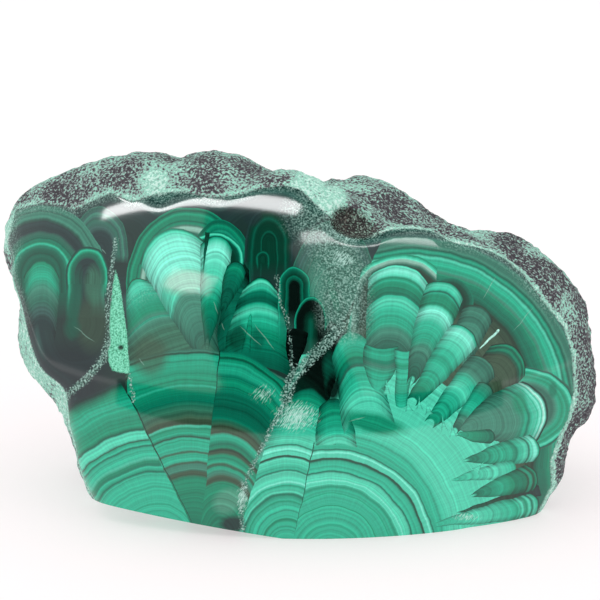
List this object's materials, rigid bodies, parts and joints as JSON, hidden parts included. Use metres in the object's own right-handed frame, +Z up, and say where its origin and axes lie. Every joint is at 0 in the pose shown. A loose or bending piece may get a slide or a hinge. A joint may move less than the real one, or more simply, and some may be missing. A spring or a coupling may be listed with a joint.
{
  "type": "malachite freeform",
  "caption": "Hand-size lump of banded green malachite, ground and polished to a dome in front, natural knobbly skin above and behind, sawn flat below to stand up.",
  "frame": {"origin": "centre of the stone's bounding box, at the level of its sawn base", "axes": "+Z up, +X to the right of someone who faces the polished dome, the dome faces -Y"},
  "size_m": [0.1182, 0.0644, 0.0699],
  "materials": {
    "malachite": "polished"
  },
  "bodies": {
    "root": {"malachite_stone": "malachite"}
  },
  "joints": []
}
